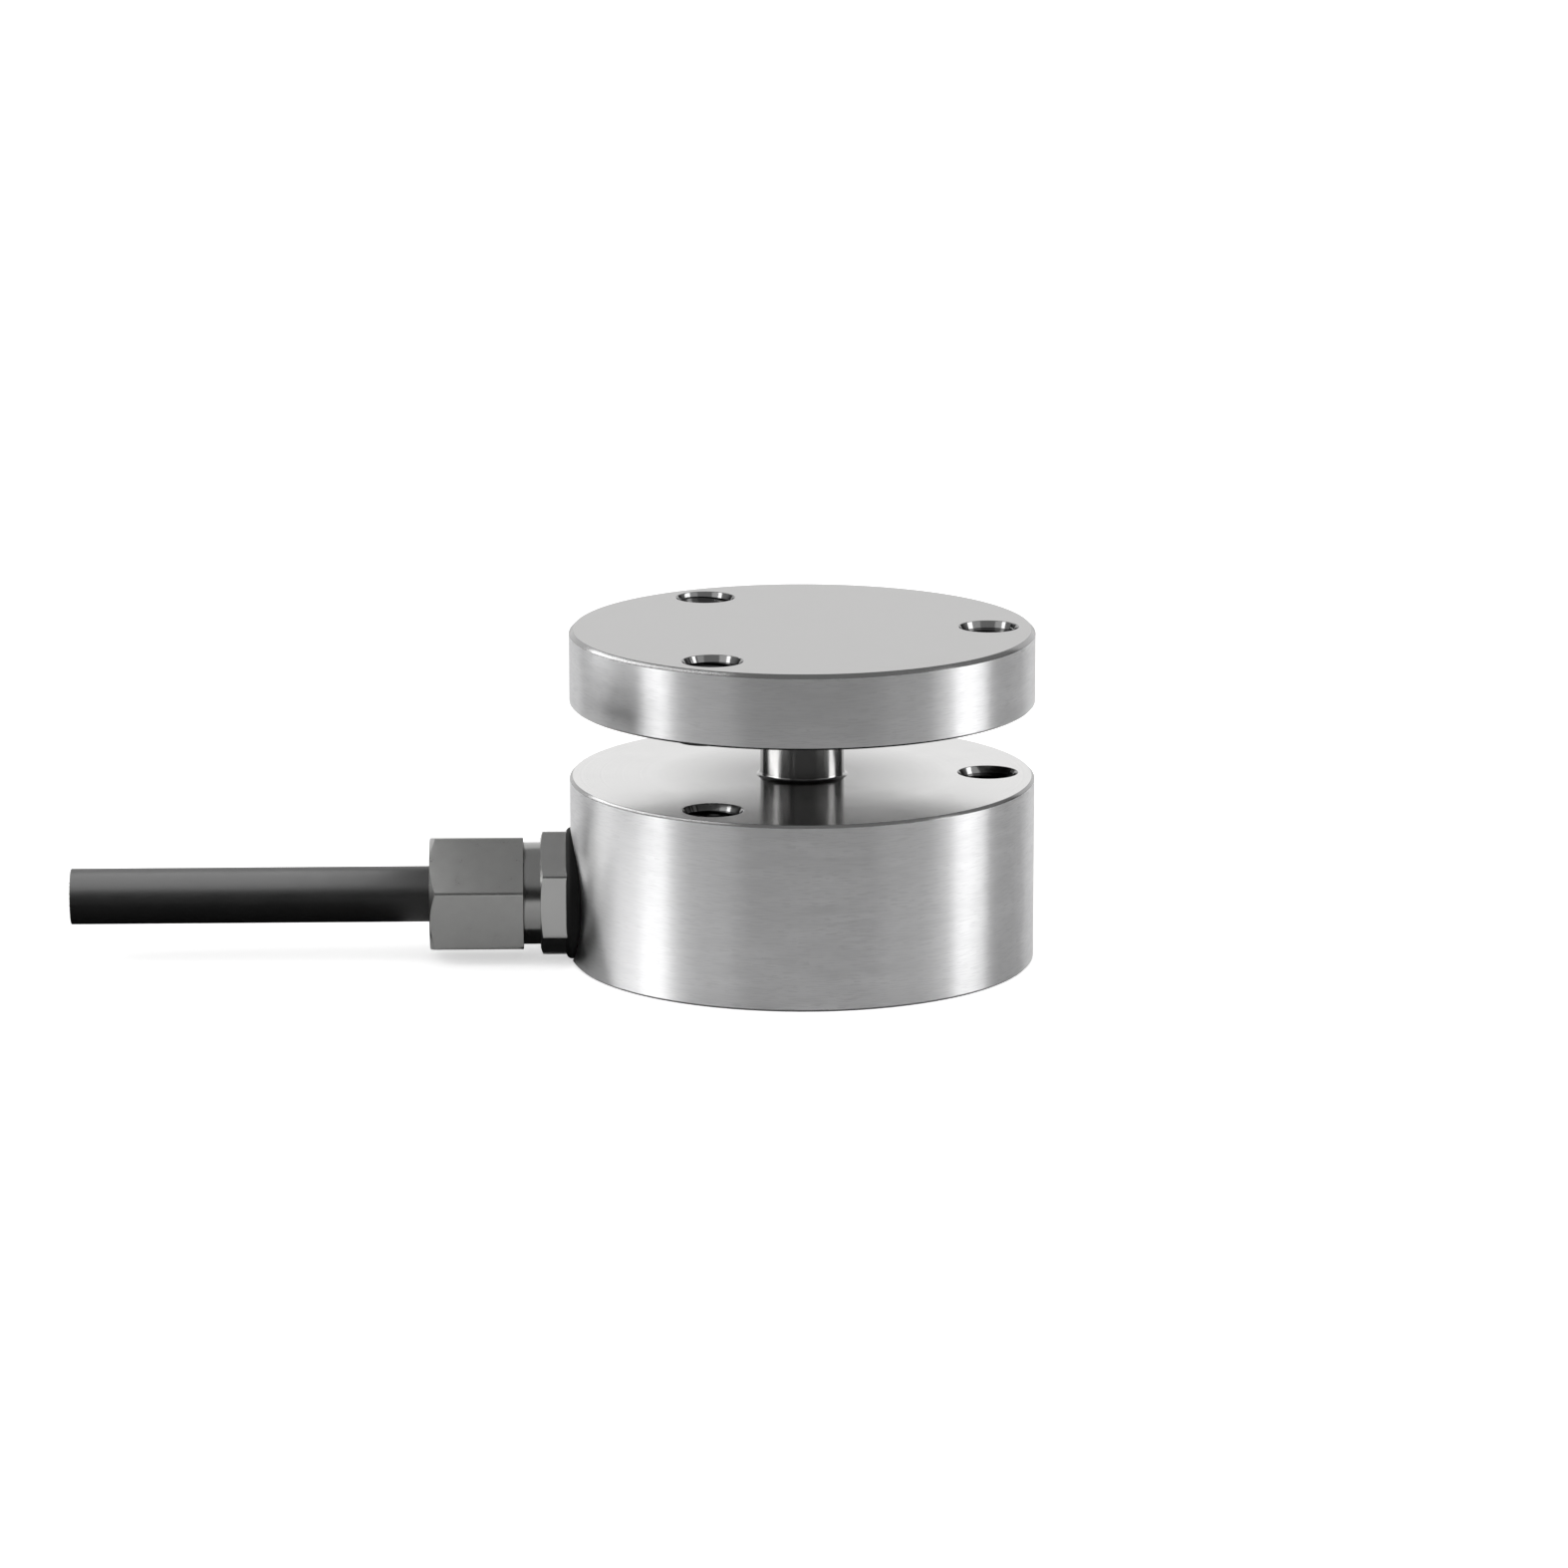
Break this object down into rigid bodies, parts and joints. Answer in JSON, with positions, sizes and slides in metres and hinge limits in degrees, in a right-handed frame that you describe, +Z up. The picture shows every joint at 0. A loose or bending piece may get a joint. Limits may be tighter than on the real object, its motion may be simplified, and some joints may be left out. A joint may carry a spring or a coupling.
{
  "type": "inline load cell",
  "caption": "Miniature inline load cell for tension and compression: a turned steel spool with tapped end faces, a thin neck and a side cable gland.",
  "frame": {"origin": "centre of the base face, in the plane that the base stands on", "axes": "+Z up along the load axis towards the loading flange, -X along the cable gland, one bolt hole of each face on +X"},
  "size_m": [0.0519, 0.025, 0.018],
  "materials": {
    "turned_steel": "circumferentially brushed and lapped stainless steel",
    "cover_steel": "fine turned stainless steel",
    "gland_metal": "satin nickel finish, wrench flats",
    "seal_rubber": "matt black nitrile",
    "jacket_plastic": "satin black extruded jacket",
    "braid_metal": "tinned braid",
    "filler_fibre": "white filler thread",
    "stop_metal": "plain crimped sleeve",
    "copper": "bare copper",
    "red_insulation": "red core insulation",
    "black_insulation": "black core insulation",
    "green_insulation": "green core insulation",
    "white_insulation": "white core insulation",
    "board_laminate": "solder-masked glass laminate",
    "chip_ceramic": "dark chip body",
    "gauge_film": "amber polyimide film",
    "gauge_foil": "etched constantan foil",
    "lead_wire": "enamelled copper wire",
    "solder": "bright solder"
  },
  "bodies": {
    "root": {"board_pads": "copper", "bottom_cover": "cover_steel", "cable_filler": "filler_fibre", "cable_jacket": "jacket_plastic", "cable_shield": "braid_metal", "core_conductor_1": "copper", "core_conductor_2": "copper", "core_conductor_3": "copper", "core_conductor_4": "copper", "core_insulation_1": "red_insulation", "core_insulation_2": "black_insulation", "core_insulation_3": "green_insulation", "core_insulation_4": "white_insulation", "elastic_body": "turned_steel", "gauge_backing_1": "gauge_film", "gauge_backing_2": "gauge_film", "gauge_backing_3": "gauge_film", "gauge_backing_4": "gauge_film", "gauge_grid_1": "gauge_foil", "gauge_grid_2": "gauge_foil", "gauge_grid_3": "gauge_foil", "gauge_grid_4": "gauge_foil", "gauge_lead_1a": "lead_wire", "gauge_lead_1b": "lead_wire", "gauge_lead_2a": "lead_wire", "gauge_lead_2b": "lead_wire", "gauge_lead_3a": "lead_wire", "gauge_lead_3b": "lead_wire", "gauge_lead_4a": "lead_wire", "gauge_lead_4b": "lead_wire", "gland_body": "gland_metal", "gland_grommet": "seal_rubber", "gland_nut": "gland_metal", "seal_washer": "seal_rubber", "solder_joints": "solder", "stop_sleeve": "stop_metal", "terminal_board": "board_laminate", "thrust_washer": "stop_metal", "trim_resistor_1": "chip_ceramic", "trim_resistor_2": "chip_ceramic"}
  },
  "joints": []
}
